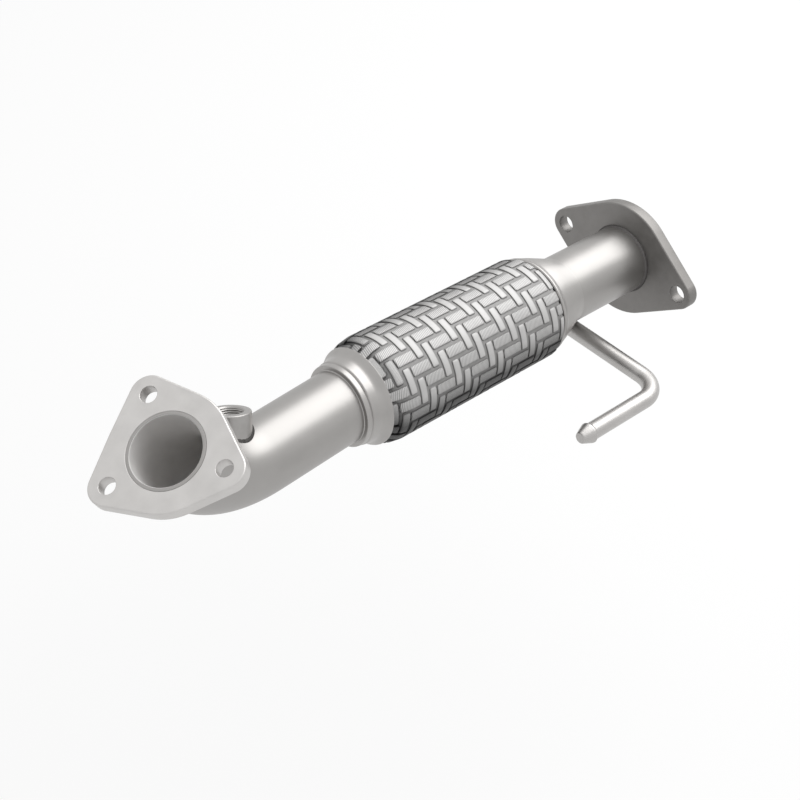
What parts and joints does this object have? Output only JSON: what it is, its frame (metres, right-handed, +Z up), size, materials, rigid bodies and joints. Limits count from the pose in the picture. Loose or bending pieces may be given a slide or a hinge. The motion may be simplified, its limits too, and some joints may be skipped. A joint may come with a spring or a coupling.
{
  "type": "exhaust front pipe",
  "caption": "Exhaust front pipe with a woven flex section, an upswept inlet with a triangular flange and a sensor bung, an oval outlet flange and a bent hanger rod.",
  "frame": {"origin": "centre of the outlet flange's mating face, on the pipe's axis", "axes": "+X along the gas flow, out of the outlet flange; +Y along the outlet flange's two bolt holes; +Z up, square to both"},
  "size_m": [0.4811, 0.1724, 0.111],
  "materials": {
    "tube_stainless": "satin",
    "flange_steel": "machined satin",
    "collar_stainless": "turned satin",
    "braid_stainless": "woven flat ribbon",
    "bung_steel": "machined",
    "rod_steel": "bright drawn",
    "weld_metal": "bead"
  },
  "bodies": {
    "root": {"flex_bellows": "collar_stainless", "flex_braid": "braid_stainless", "flex_inlet_collar": "collar_stainless", "flex_liner": "collar_stainless", "flex_outlet_collar": "collar_stainless", "flex_support_rings": "collar_stainless", "hanger_rod": "rod_steel", "hanger_rod_weld": "weld_metal", "inlet_collar_weld": "weld_metal", "inlet_flange": "flange_steel", "inlet_flange_weld": "weld_metal", "inlet_pipe": "tube_stainless", "outlet_collar_weld": "weld_metal", "outlet_flange": "flange_steel", "outlet_flange_weld": "weld_metal", "outlet_pipe": "tube_stainless", "sensor_bung": "bung_steel", "sensor_bung_weld": "weld_metal"}
  },
  "joints": []
}
